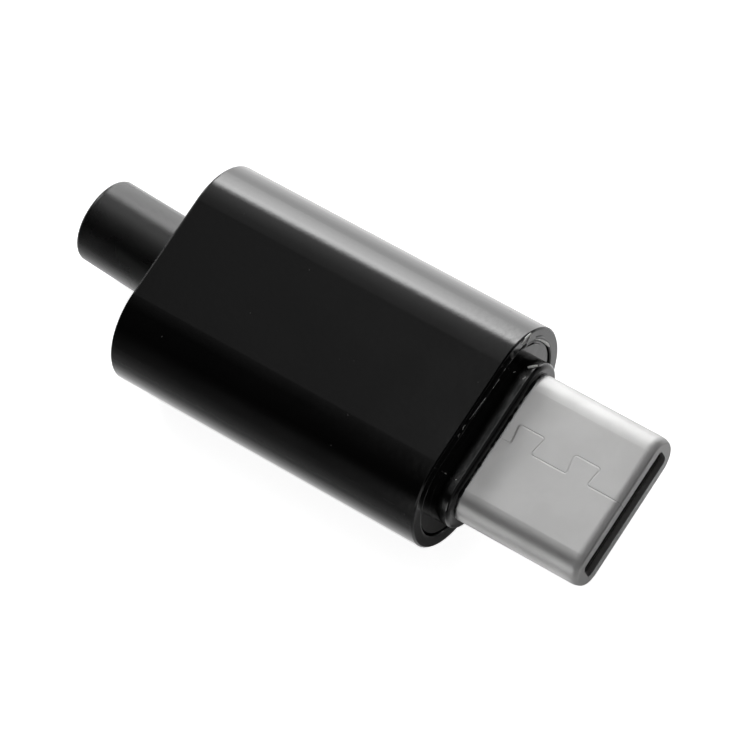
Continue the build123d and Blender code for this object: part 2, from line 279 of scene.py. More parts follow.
def smudge_group():
    """Broad cloudy patches, from 0 to 1, as handling leaves them."""
    tree, given, result = new_group(
        "Handling smudges",
        "ShaderNodeTree",
        [
            ("Vector", "NodeSocketVector", None),
            ("Patches per metre", "NodeSocketFloat", 300.0),
        ],
        [("Mask", "NodeSocketFloat")],
    )
    cloud = add_node(
        tree,
        "ShaderNodeTexNoise",
        {
            "Vector": given.outputs["Vector"],
            "Scale": given.outputs["Patches per metre"],
            "Detail": 4.0,
            "Roughness": 0.55,
            "Distortion": 0.4,
        },
    )
    spread = add_node(
        tree,
        "ShaderNodeMapRange",
        {"Value": cloud.outputs[0], "From Min": 0.35, "From Max": 0.65},
        interpolation_type="SMOOTHSTEP",
    )
    set_inputs(tree, result, {"Mask": spread.outputs[0]})
    return tree


def dust_group():
    """Sparse specks of dust: 1 on a speck and 0 between."""
    tree, given, result = new_group(
        "Dust specks",
        "ShaderNodeTree",
        [
            ("Vector", "NodeSocketVector", None),
            ("Specks per metre", "NodeSocketFloat", 1500.0),
            ("Speck size", "NodeSocketFloat", 0.06),
            ("Share with a speck", "NodeSocketFloat", 0.2),
        ],
        [("Mask", "NodeSocketFloat")],
    )
    cells = add_node(
        tree,
        "ShaderNodeTexVoronoi",
        {"Vector": given.outputs["Vector"], "Scale": given.outputs["Specks per metre"]},
    )
    near = add_node(
        tree,
        "ShaderNodeMath",
        {0: cells.outputs["Distance"], 1: given.outputs["Speck size"]},
        operation="LESS_THAN",
    )
    apart = add_node(tree, "ShaderNodeSeparateColor", {0: cells.outputs["Color"]})
    chosen = add_node(
        tree,
        "ShaderNodeMath",
        {0: apart.outputs[0], 1: given.outputs["Share with a speck"]},
        operation="LESS_THAN",
    )
    set_inputs(tree, result, {"Mask": product(tree, near.outputs[0], chosen.outputs[0])})
    return tree


def edge_group():
    """How much of an edge is near: 1 on a sharp outer edge and 0 on a flat."""
    tree, given, result = new_group(
        "Edge wear",
        "ShaderNodeTree",
        [
            ("Radius", "NodeSocketFloat", 0.00005),
            ("Vector", "NodeSocketVector", None),
        ],
        [("Mask", "NodeSocketFloat"), ("Rounded normal", "NodeSocketVector")],
    )
    rounded = add_node(tree, "ShaderNodeBevel", {"Radius": given.outputs["Radius"]}, samples=6)
    sharp = add_node(tree, "ShaderNodeNewGeometry")
    same = add_node(
        tree,
        "ShaderNodeVectorMath",
        {0: rounded.outputs[0], 1: sharp.outputs["Normal"]},
        operation="DOT_PRODUCT",
    )
    turned = add_node(
        tree,
        "ShaderNodeMapRange",
        {"Value": same.outputs["Value"], "From Min": 0.995, "From Max": 0.85},
    )
    patchy = add_node(
        tree,
        "ShaderNodeTexNoise",
        {"Vector": given.outputs["Vector"], "Scale": 2500.0, "Detail": 3.0},
    )
    broken = add_node(
        tree,
        "ShaderNodeMapRange",
        {"Value": patchy.outputs[0], "From Min": 0.38, "From Max": 0.6},
    )
    worn = product(tree, turned.outputs[0], broken.outputs[0])
    set_inputs(tree, result, {"Mask": worn, "Rounded normal": rounded.outputs[0]})
    return tree


def place(tree, group, inputs):
    """A node that shows one shared group with this material's own values."""
    made = tree.nodes.new("ShaderNodeGroup")
    made.node_tree = group
    set_inputs(tree, made, inputs)
    return made


def shared_groups():
    """The shared effects, each built once."""
    makers = {
        "Surface grain": grain_group,
        "Handling smudges": smudge_group,
        "Dust specks": dust_group,
        "Edge wear": edge_group,
    }
    return {name: bpy.data.node_groups.get(name) or make() for name, make in makers.items()}


def new_material(name, **shader):
    """A material with one Principled shader, its tree and its Object coordinates."""
    made = bpy.data.materials.new(name)
    made.use_nodes = True
    tree = made.node_tree
    principled = tree.nodes["Principled BSDF"]
    set_inputs(tree, principled, shader)
    spot = add_node(tree, "ShaderNodeTexCoord").outputs["Object"]
    return made, tree, principled, spot


def mixed_colour(tree, mask, plain, marked):
    """A colour that goes from plain to marked with a mask. Plain may be a socket."""
    made = tree.nodes.new("ShaderNodeMix")
    made.data_type = "RGBA"
    if isinstance(plain, bpy.types.NodeSocket):
        tree.links.new(plain, made.inputs[6])
    else:
        made.inputs[6].default_value = (*plain, 1)
    made.inputs[7].default_value = (*marked, 1)
    tree.links.new(mask, made.inputs[0])
    return made.outputs[2]


def mixed_value(tree, mask, plain, marked):
    """A number that goes from plain to marked with a mask. Plain may be a socket."""
    made = add_node(tree, "ShaderNodeMix", {0: mask, 2: plain, 3: marked})
    return made.outputs[0]


def bumped(tree, height, depth, normal=None):
    """A normal with a height in metres laid over it."""
    made = add_node(tree, "ShaderNodeBump", {"Strength": 1.0, "Distance": depth, "Height": height})
    if normal is not None:
        tree.links.new(normal, made.inputs["Normal"])
    return made.outputs[0]


def moulded_plastic(name, colour, roughness, grain, depth, edge_radius, dust, shine=0.5):
    """A moulding with fine grain, cloudy sheen, sparse dust and lighter worn edges.

    Grain, depth and edge radius are in millimetres, and dust is the share of places with a speck.
    """
    groups = shared_groups()
    made, tree, principled, spot = new_material(
        name, **{"Specular IOR Level": shine, "IOR": 1.5}
    )
    cloud = place(tree, groups["Handling smudges"], {"Vector": spot, "Patches per metre": 260.0})
    specks = place(tree, groups["Dust specks"], {"Vector": spot, "Share with a speck": dust})
    edges = place(tree, groups["Edge wear"], {"Radius": edge_radius * MM, "Vector": spot})
    fine = place(
        tree, groups["Surface grain"], {"Vector": spot, "Features per metre": 1 / (grain * MM)}
    )
    worn_colour = tuple(3 * c + 0.006 for c in colour)
    edged = mixed_colour(tree, edges.outputs["Mask"], colour, worn_colour)
    base = mixed_colour(tree, specks.outputs["Mask"], edged, DUST_COLOUR)
    sheen = mixed_value(tree, cloud.outputs["Mask"], roughness, roughness * 1.2)
    rubbed = mixed_value(tree, edges.outputs["Mask"], sheen, min(1.0, roughness + 0.12))
    worn = mixed_value(tree, specks.outputs["Mask"], rubbed, DUST_ROUGHNESS)
    normal = bumped(tree, fine.outputs["Height"], depth * MM, edges.outputs["Rounded normal"])
    set_inputs(tree, principled, {"Base Color": base, "Roughness": worn, "Normal": normal})
    return made


def plated_metal(name, colour, stained, roughness, grain, depth, edge_radius):
    """Satin plated metal with a cloudy tone, fine grain and brighter worn edges.

    Grain, depth and edge radius are in millimetres.
    """
    groups = shared_groups()
    made, tree, principled, spot = new_material(name, **{"Metallic": 1.0})
    cloud = place(tree, groups["Handling smudges"], {"Vector": spot, "Patches per metre": 520.0})
    edges = place(tree, groups["Edge wear"], {"Radius": edge_radius * MM, "Vector": spot})
    fine = place(
        tree, groups["Surface grain"], {"Vector": spot, "Features per metre": 1 / (grain * MM)}
    )
    base = mixed_colour(tree, cloud.outputs["Mask"], colour, stained)
    sheen = mixed_value(tree, cloud.outputs["Mask"], roughness, roughness * 1.05)
    worn = mixed_value(tree, edges.outputs["Mask"], sheen, roughness * 0.7)
    normal = bumped(tree, fine.outputs["Height"], depth * MM, edges.outputs["Rounded normal"])
    set_inputs(tree, principled, {"Base Color": base, "Roughness": worn, "Normal": normal})
    return made


def shell_plating(name, finishes, edge_radius):
    """The shell's satin plating, as its user sets it."""
    tone = tuple(finishes.shell_colour)
    stained = tuple(STAIN * c for c in tone)
    return plated_metal(
        name,
        tone,
        stained,
        finishes.shell_roughness,
        grain=0.05,
        depth=0.0006,
        edge_radius=edge_radius,
    )


def dress(names, material):
    """Gives these nodes one material."""
    for name in names:
        for slot in nodes[name].material_slots:
            slot.material = material


def named(part):
    """The nodes whose name holds these words."""
    return sorted(name for name in nodes if part in name)


class PlugFinishes(bpy.types.PropertyGroup):
    """Colours and gloss of the plug's materials."""

    housing_colour: FloatVectorProperty(
        name="Housing colour",
        description="Black of the gloss housing and cap",
        default=(0.002, 0.002, 0.002),
        min=0.0,
        max=1.0,
        subtype="COLOR",
    )
    housing_roughness: FloatProperty(
        name="Housing roughness", description="Gloss of the housing", default=0.10, min=0.0, max=1.0
    )
    cap_roughness: FloatProperty(
        name="Cap roughness", description="Gloss of the front cap", default=0.16, min=0.0, max=1.0
    )
    boot_colour: FloatVectorProperty(
        name="Boot colour",
        description="Black of the soft cable boot",
        default=(0.003, 0.003, 0.003),
        min=0.0,
        max=1.0,
        subtype="COLOR",
    )
    boot_roughness: FloatProperty(
        name="Boot roughness", description="Dullness of the boot", default=0.25, min=0.0, max=1.0
    )
    shell_colour: FloatVectorProperty(
        name="Shell colour",
        description="Tone of the plated steel",
        default=(0.59, 0.588, 0.585),
        min=0.0,
        max=1.0,
        subtype="COLOR",
    )
    shell_roughness: FloatProperty(
        name="Shell roughness", description="Satin of the shell", default=0.48, min=0.0, max=1.0
    )


class PlugMarks(bpy.types.PropertyGroup):
    """Sizes of the small marks that moulding and assembly leave, and the pale colour of the glue
    strokes that paint glints.
    """

    flash_length: FloatProperty(
        name="Flash length",
        description="How far the flash creeps along the shell",
        default=0.07 * MM,
        unit="LENGTH",
    )
    flash_thickness: FloatProperty(
        name="Flash thickness",
        description="Thickness of the flash at the collar",
        default=0.045 * MM,
        unit="LENGTH",
    )
    glue_radius: FloatProperty(
        name="Glue radius",
        description="Radius of the glue line round the cap",
        default=0.075 * MM,
        unit="LENGTH",
    )
    # Pale colour of the glue strokes, which paints glints and highlights on the rim and the collar
    glint_paint_colour: FloatVectorProperty(
        name="Dried glue colour",
        description="Pale tone of dried glue",
        default=(0.8, 0.8, 0.78),
        min=0.0,
        max=1.0,
        subtype="COLOR",
    )
    seed: IntProperty(name="Seed", description="Seed of all random marks", default=7, min=0)


class PlugStage(bpy.types.PropertyGroup):
    """Floor, lamps and camera."""

    floor_colour: FloatVectorProperty(
        name="Floor colour",
        description="Pale colour of the floor",
        default=(0.9, 0.9, 0.9),
        min=0.0,
        max=1.0,
        subtype="COLOR",
    )
    lamp_level: FloatProperty(
        name="Lamp level", description="Scales every lamp", default=1.0, min=0.0
    )
    camera_azimuth: FloatProperty(
        name="Camera azimuth",
        description="Where the camera stands round the plug, from -Y towards +X",
        default=math.radians(65.58),
        subtype="ANGLE",
    )
    camera_elevation: FloatProperty(
        name="Camera elevation",
        description="Height of the camera over the horizon",
        default=math.radians(62.92),
        subtype="ANGLE",
    )
    camera_roll: FloatProperty(
        name="Camera roll",
        description="Turn of the camera about its own axis",
        default=math.radians(-34.22),
        subtype="ANGLE",
    )
    camera_distance: FloatProperty(
        name="Camera distance",
        description="Depth of the plug's nose before the camera",
        default=217.51 * MM,
        unit="LENGTH",
    )
    lens: FloatProperty(
        name="Lens", description="Focal length in millimetres", default=222.3, min=1.0
    )


def stadium_point(width, height, share):
    """A point of a stadium outline in Y and Z and its outward normal, by its share of the way."""
    radius = height / 2
    straight = width - height
    bend = math.pi * radius
    way = (share % 1.0) * 2 * (straight + bend)
    if way < straight:
        return Vector((0, straight / 2 - way, radius)), Vector((0, 0, 1))
    way -= straight
    if way < bend:
        angle = math.pi / 2 + way / radius
        out = Vector((0, math.cos(angle), math.sin(angle)))
        return Vector((0, -straight / 2, 0)) + radius * out, out
    way -= bend
    if way < straight:
        return Vector((0, way - straight / 2, -radius)), Vector((0, 0, -1))
    way -= straight
    angle = way / radius - math.pi / 2
    out = Vector((0, math.cos(angle), math.sin(angle)))
    return Vector((0, straight / 2, 0)) + radius * out, out


def finish_piece(mesh, name, material, smooth=True):
    """Turns a mesh into a piece of the plug that rides on its body."""
    piece = bpy.data.objects.new(name, mesh)
    bpy.context.scene.collection.objects.link(piece)
    if not mesh.materials:
        mesh.materials.append(material)
    for face in mesh.polygons:
        face.use_smooth = smooth
    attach(piece, BODY)
    return piece


def ring_mesh(name, stations, section):
    """A closed ring: section gives the points of one cross-section for a share of the way round."""
    shape = bmesh.new()
    rows = [[shape.verts.new(p) for p in section(i / stations)] for i in range(stations)]
    count = len(rows[0])
    for i in range(stations):
        here, ahead = rows[i], rows[(i + 1) % stations]
        for j in range(count):
            after = (j + 1) % count
            shape.faces.new((here[j], ahead[j], ahead[after], here[after]))
    bmesh.ops.recalc_face_normals(shape, faces=shape.faces)
    mesh = bpy.data.meshes.new(name)
    shape.to_mesh(mesh)
    shape.free()
    return mesh


class PLUG_OT_finish_shell(bpy.types.Operator):
    """Gives the rolled shell its satin plating"""

    bl_idname = "plug.finish_shell"
    bl_label = "Finish the shell"

    def execute(self, context):
        steel = shell_plating("plated_shell", context.scene.plug_finishes, edge_radius=0.03)
        dress(["plug_shell"], steel)
        return {"FINISHED"}


class PLUG_OT_finish_mouldings(bpy.types.Operator):
    """Gives the housing, cap, boot and insulators their plastics"""

    bl_idname = "plug.finish_mouldings"
    bl_label = "Finish the mouldings"

    def execute(self, context):
        finishes = context.scene.plug_finishes
        black = tuple(finishes.housing_colour)
        housing = moulded_plastic(
            "gloss_housing",
            black,
            finishes.housing_roughness,
            grain=0.3,
            depth=0.003,
            edge_radius=0.03,
            dust=0.15,
        )
        cap = moulded_plastic(
            "gloss_cap",
            black,
            finishes.cap_roughness,
            grain=0.5,
            depth=0.012,
            edge_radius=0.015,
            dust=0.1,
        )
        boot = moulded_plastic(
            "soft_boot",
            tuple(finishes.boot_colour),
            finishes.boot_roughness,
            grain=0.06,
            depth=0.003,
            edge_radius=0.06,
            dust=0.2,
        )
        insulator = moulded_plastic(
            "moulded_insulator",
            (0.045, 0.045, 0.045),
            0.4,
            grain=0.08,
            depth=0.002,
            edge_radius=0.02,
            dust=0.1,
        )
        dress(["outer_housing"], housing)
        dress(["front_cap"], cap)
        dress(["cable_boot"], boot)
        dress(["front_insulator", *named("contact_carrier")], insulator)
        return {"FINISHED"}


class PLUG_OT_finish_inner_metal(bpy.types.Operator):
    """Gives the contacts, springs, latch frame, card and chips their finishes"""

    bl_idname = "plug.finish_inner_metal"
    bl_label = "Finish the contacts and card"

    def execute(self, context):
        gold = plated_metal(
            "gold_plating",
            (0.83, 0.6, 0.26),
            (0.7, 0.47, 0.18),
            0.24,
            grain=0.04,
            depth=0.0005,
            edge_radius=0.01,
        )
        spring = plated_metal(
            "spring_steel",
            (0.52, 0.51, 0.49),
            (0.42, 0.41, 0.39),
            0.34,
            grain=0.04,
            depth=0.0006,
            edge_radius=0.01,
        )
        laminate = moulded_plastic(
            "card_mask",
            (0.01, 0.06, 0.028),
            0.3,
            grain=0.09,
            depth=0.002,
            edge_radius=0.02,
            dust=0.1,
        )
        ceramic = moulded_plastic(
            "chip_body",
            (0.16, 0.12, 0.09),
            0.45,
            grain=0.05,
            depth=0.001,
            edge_radius=0.02,
            dust=0.05,
            shine=0.4,
        )
        contacts = [name for name in named("_contact_") if "carrier" not in name]
        dress(contacts + named("wire_pads"), gold)
        dress(named("ground_spring") + ["latch_frame"], spring)
        dress(["paddle_card"], laminate)
        dress(named("chip_"), ceramic)
        return {"FINISHED"}


class PLUG_OT_add_flash(bpy.types.Operator):
    """Adds the thin wavy flash of the collar along the shell"""

    bl_idname = "plug.add_flash"
    bl_label = "Add the moulding flash"

    def execute(self, context):
        marks = context.scene.plug_marks
        width = shell_high.y - shell_low.y
        height = shell_high.z - shell_low.z
        stations = 320
        lift = 0.004 * MM
        sunk = 0.05 * MM

        def section(share):
            point, out = stadium_point(width, height, share)
            spot = point / MM
            slow = noise.noise(Vector((marks.seed, spot.y * 1.1, spot.z * 1.1)))
            quick = noise.noise(Vector((marks.seed + 9, spot.y * 4.5, spot.z * 4.5)))
            reach = marks.flash_length * max(0.1, 0.75 + 1.1 * slow + 0.8 * quick)
            thick = marks.flash_thickness * (1.0 + 0.4 * quick)
            profile = (
                (-sunk, lift),
                (-sunk, thick),
                (0.45 * reach, 0.8 * thick),
                (0.85 * reach, 0.5 * thick),
                (reach, lift),
            )
            return [
                Vector((COLLAR_FRONT + ahead, 0, 0)) + point + rise * out for ahead, rise in profile
            ]

        mesh = ring_mesh("shell_flash", stations, section)
        finish_piece(mesh, "shell_flash", bpy.data.materials["gloss_cap"])
        return {"FINISHED"}


def set_modifier_input(modifier, tree, name, value):
    """Sets a geometry nodes input by its socket's identifier."""
    for item in tree.interface.items_tree:
        if item.item_type == "SOCKET" and item.in_out == "INPUT" and item.name == name:
            modifier[item.identifier] = value
            return
    raise ValueError(f"the tree has no input named {name}")


def run_tree(source, tree, values, name):
    """The plain mesh that a geometry nodes tree makes of an object, which is then removed."""
    modifier = source.modifiers.new("nodes", "NODES")
    modifier.node_group = tree
    for key, value in values.items():
        set_modifier_input(modifier, tree, key, value)
    source.update_tag()
    seen = bpy.context.evaluated_depsgraph_get()
    mesh = bpy.data.meshes.new_from_object(source.evaluated_get(seen), depsgraph=seen)
    mesh.name = name
    source.modifiers.remove(modifier)
    bpy.data.objects.remove(source)
    return mesh


def glue_tree():
    """Geometry nodes for uneven beads along paths, as thick as their points' radii."""
    made = bpy.data.node_groups.get("Uneven bead")
    if made:
        return made
    tree, given, result = new_group(
        "Uneven bead",
        "GeometryNodeTree",
        [
            ("Path", "NodeSocketGeometry", None),
            ("Spacing", "NodeSocketFloat", 0.0001),
            ("Unevenness", "NodeSocketFloat", 0.5),
            ("Features per metre", "NodeSocketFloat", 900.0),
            ("Seed", "NodeSocketFloat", 0.0),
            ("Material", "NodeSocketMaterial", None),
        ],
        [("Bead", "NodeSocketGeometry")],
    )
    evenly = add_node(
        tree,
        "GeometryNodeResampleCurve",
        {"Curve": given.outputs["Path"], "Length": given.outputs["Spacing"]},
        mode="LENGTH",
    )
    spot = add_node(tree, "GeometryNodeInputPosition")
    lumps = add_node(
        tree,
        "ShaderNodeTexNoise",
        {
            "Vector": spot.outputs[0],
            "W": given.outputs["Seed"],
            "Scale": given.outputs["Features per metre"],
            "Detail": 3.0,
        },
        noise_dimensions="4D",
    )
    centred = add_node(
        tree, "ShaderNodeMath", {0: lumps.outputs[0], 1: 0.5}, operation="SUBTRACT"
    )
    scaled = add_node(
        tree,
        "ShaderNodeMath",
        {0: centred.outputs[0], 1: given.outputs["Unevenness"], 2: 1.0},
        operation="MULTIPLY_ADD",
    )
    radius = product(tree, add_node(tree, "GeometryNodeInputRadius").outputs[0], scaled.outputs[0])
    sized = add_node(
        tree, "GeometryNodeSetCurveRadius", {"Curve": evenly.outputs[0], "Radius": radius}
    )
    ring = add_node(tree, "GeometryNodeCurvePrimitiveCircle", {"Resolution": 10, "Radius": 1.0})
    bead = add_node(
        tree,
        "GeometryNodeCurveToMesh",
        {"Curve": sized.outputs[0], "Profile Curve": ring.outputs[0], "Fill Caps": True},
    )
    if "Scale" in bead.inputs:
        read = add_node(tree, "GeometryNodeInputRadius")
        tree.links.new(read.outputs[0], bead.inputs["Scale"])
    whole = add_node(tree, "GeometryNodeRealizeInstances", {0: bead.outputs[0]})
    painted = add_node(
        tree,
        "GeometryNodeSetMaterial",
        {"Geometry": whole.outputs[0], "Material": given.outputs["Material"]},
    )
    set_inputs(tree, result, {"Bead": painted.outputs[0]})
    return tree


def bead_curve(name, paths):
    """Poly curves from paths of points and their sizes, each closed or open."""
    data = bpy.data.curves.new(name, "CURVE")
    data.dimensions = "3D"
    for points, sizes, closed in paths:
        line = data.splines.new("POLY")
        line.points.add(len(points) - 1)
        for made, spot, size in zip(line.points, points, sizes):
            made.co = (*spot, 1)
            made.radius = size
        line.use_cyclic_u = closed
    made = bpy.data.objects.new(name, data)
    bpy.context.scene.collection.objects.link(made)
    return made


def stroke_paths(strokes):
    """Open paths of strokes, thinner at both ends."""
    paths = []
    for stroke, radius in strokes:
        sizes = [radius * MM] * len(stroke)
        sizes[0] = sizes[-1] = 0.5 * radius * MM
        paths.append(([Vector(point) * MM for point in stroke], sizes, False))
    return paths


def glue_size(share):
    """How much glue stands out at a share of the way round the rim."""
    size = GLUE_FILL
    for middle, half, full in GLUE_RUNS:
        away = abs((share - middle + 0.5) % 1.0 - 0.5) / half
        if away < 1:
            size = max(size, GLUE_FILL + (full - GLUE_FILL) * math.sqrt(1 - away * away))
    return size


class PLUG_OT_add_rim_glue(bpy.types.Operator):
    """Adds the uneven glue line between the housing's rim and the cap"""

    bl_idname = "plug.add_rim_glue"
    bl_label = "Add the glue line"

    def execute(self, context):
        marks = context.scene.plug_marks
        count = 420
        ring = []
        for i in range(count):
            spot, _ = stadium_point(GAP_HEIGHT + GAP_STRAIGHT, GAP_HEIGHT, i / count)
            ring.append(spot + Vector((CAP_FACE + GLUE_LIFT, 0, 0)))
        paths = [(ring, [glue_size(i / count) * marks.glue_radius for i in range(count)], True)]
        paths += stroke_paths(BLACK_STROKES)
        mesh = run_tree(
            bead_curve("glue_path", paths),
            glue_tree(),
            {
                "Spacing": 0.06 * MM,
                "Unevenness": 1.5,
                "Features per metre": 2600.0,
                "Seed": float(marks.seed),
                "Material": bpy.data.materials["gloss_cap"],
            },
            "rim_glue",
        )
        finish_piece(mesh, "rim_glue", bpy.data.materials["gloss_cap"])
        return {"FINISHED"}


class PLUG_OT_add_painted_glints(bpy.types.Operator):
    """Adds pale glue strokes on the rim's face and the collar, whose pale colour paints glints and
    highlights there
    """

    bl_idname = "plug.add_dried_glue"
    # The pale strokes are painted glints and highlights on the glue
    bl_label = "Add the dried glue"

    def execute(self, context):
        marks = context.scene.plug_marks
        pale = tuple(marks.glint_paint_colour)
        # A pale glossy material whose pale colour paints glints and highlights where the strokes
        # lie
        material = moulded_plastic(
            "glue_painted_glints", pale, 0.2, grain=0.06, depth=0.004, edge_radius=0.02, dust=0.0
        )
        mesh = run_tree(
            bead_curve("stroke_path", stroke_paths(PAINTED_GLINT_STROKES)),
            glue_tree(),
            {
                "Spacing": 0.04 * MM,
                "Unevenness": 1.2,
                "Features per metre": 4000.0,
                "Seed": float(marks.seed),
                "Material": material,
            },
            "glue_painted_glints",
        )
        finish_piece(mesh, "glue_painted_glints", material)
        return {"FINISHED"}


def seam_points():
    """The seam's corners in X and Y in millimetres, from the nose to the collar."""
    points = [(x, SEAM_LINE) for x in SEAM_START]
    for i in range(SEAM_TABS):
        middle = SEAM_FIRST + i * SEAM_PITCH
        points += [
            (middle + SEAM_ROOT / 2, SEAM_LINE),
            (middle + SEAM_TIP / 2, SEAM_LINE + SEAM_REACH),
            (middle - SEAM_TIP / 2, SEAM_LINE + SEAM_REACH),
            (middle - SEAM_ROOT / 2, SEAM_LINE),
        ]
    points.append((SEAM_END, SEAM_LINE))
    return [Vector(point) for point in points]


def rounded(points, radius, steps=5):
    """A line's points with its corners rounded."""
    result = [points[0]]
    for before, corner, after in zip(points, points[1:], points[2:]):
        into, out = (corner - before).normalized(), (after - corner).normalized()
        turn = into.angle(out)
        if turn < SLIGHT_TURN:
            result.append(corner)
            continue
        back = radius * math.tan(turn / 2)
        centre = corner + (out - into).normalized() * radius / math.cos(turn / 2)
        start, end = corner - back * into - centre, corner + back * out - centre
        for i in range(steps + 1):
            result.append(centre + radius * start.lerp(end, i / steps).normalized())
    result.append(points[-1])
    return result


def nose_drop(x):
    """How far the drawn nose is below the shell's flat at a place along X, in millimetres."""
    length, depth = NOSE_DRAW
    return depth * (max(0.0, x + length) / NOSE_ARC) ** 2


class PLUG_OT_plate_seam(bpy.types.Operator):
    """Fills the shell's seam with its plating, up to a shallow groove"""

    bl_idname = "plug.plate_seam"
    bl_label = "Plate the seam"

    def execute(self, context):
        half, depth, shift, lip = GROOVE
        line = rounded(seam_points(), SEAM_ROUND)
        shape = bmesh.new()
        rows = []
        for i, here in enumerate(line):
            before, after = line[max(0, i - 1)], line[min(len(line) - 1, i + 1)]
            into, out = (here - before), (after - here)
            way = (into.normalized() + out.normalized()).normalized()
            aside = Vector((-way.y, way.x))
            low = shift * (2 * max(0.0, way.y) - 1)
            across = ((-half, lip), (low, -depth), (half, lip), (low, -3 * depth))
            row = []
            for u, rise in across:
                spot = here + u * aside
                top = shell_high.z / MM - nose_drop(spot.x) + rise
                row.append(shape.verts.new(Vector((spot.x, spot.y, top)) * MM))
            rows.append(row)
        for here, ahead in zip(rows, rows[1:]):
            for j in range(4):
                after = (j + 1) % 4
                shape.faces.new((here[j], ahead[j], ahead[after], here[after]))
        shape.faces.new(rows[0])
        shape.faces.new(rows[-1])
        bmesh.ops.recalc_face_normals(shape, faces=shape.faces)
        mesh = bpy.data.meshes.new("seam_plating")
        shape.to_mesh(mesh)
        shape.free()
        steel = shell_plating("seam_plating", context.scene.plug_finishes, edge_radius=0.002)
        finish_piece(mesh, "seam_plating", steel, smooth=False)
        return {"FINISHED"}


def floor_fade(tree, value, low, high, start, end):
    """A level that goes smoothly from start to end between two places in millimetres."""
    made = add_node(
        tree,
        "ShaderNodeMapRange",
        {
            "Value": value,
            "From Min": low * MM,
            "From Max": high * MM,
            "To Min": start,
            "To Max": end,
        },
        interpolation_type="SMOOTHSTEP",
    )
    return made.outputs[0]


def larger(tree, one, other):
    """The larger of two sockets' values."""
    return add_node(tree, "ShaderNodeMath", {0: one, 1: other}, operation="MAXIMUM").outputs[0]


def summed(tree, one, other):
    """The sum of two sockets' values."""
    return add_node(tree, "ShaderNodeMath", {0: one, 1: other}, operation="ADD").outputs[0]


def glowing():
    """The softboxes' material: emission as bright as each point's own level."""
    made = bpy.data.materials.get("softbox_glow")
    if made:
        return made
    made = bpy.data.materials.new("softbox_glow")
    made.use_nodes = True
    tree = made.node_tree
    tree.nodes.clear()
    level = add_node(tree, "ShaderNodeAttribute", attribute_name="glow").outputs["Fac"]
    glow = add_node(tree, "ShaderNodeEmission", {"Color": (1, 1, 1, 1), "Strength": level})
    out = add_node(tree, "ShaderNodeOutputMaterial")
    tree.links.new(glow.outputs[0], out.inputs["Surface"])
    return made


def hang_panel(name, rows, levels, diffuse):
    """A lit panel from rows of points and their levels, which the camera doesn't see."""
    count = len(rows[0])
    points = [point for row in rows for point in row]
    faces = [
        (i * count + j, i * count + j + 1, (i + 1) * count + j + 1, (i + 1) * count + j)
        for i in range(len(rows) - 1)
        for j in range(count - 1)
    ]
    mesh = bpy.data.meshes.new(name)
    mesh.from_pydata(points, [], faces)
    glow = mesh.attributes.new("glow", "FLOAT", "POINT")
    glow.data.foreach_set("value", [level for row in levels for level in row])
    mesh.materials.append(glowing())
    made = bpy.data.objects.new(name, mesh)
    bpy.context.scene.collection.objects.link(made)
    made.visible_camera = False
    made.visible_shadow = False
    made.visible_diffuse = diffuse


def softbox(name, cosines, levels, scale, centre):
    """A softbox bent round the plug: its reach along X as cosines, its levels by angle.

    An angle is taken from the zenith towards +Y, in degrees.
    """
    low, high = cosines
    columns = (
        (low - SOFT_EDGE, 0.0),
        (low + SOFT_EDGE, 1.0),
        (high - SOFT_EDGE, 1.0),
        (high + SOFT_EDGE, 0.0),
    )
    rows, shades = [], []
    for angle, level in levels:
        turn = math.radians(angle)
        row = []
        for cosine, _ in columns:
            across = math.sqrt(1 - cosine * cosine)
            way = Vector((cosine, across * math.sin(turn), across * math.cos(turn)))
            row.append(centre + SOFTBOX_DISTANCE * way)
        rows.append(row)
        shades.append([scale * level * share for _, share in columns])
    hang_panel(name, rows, shades, True)


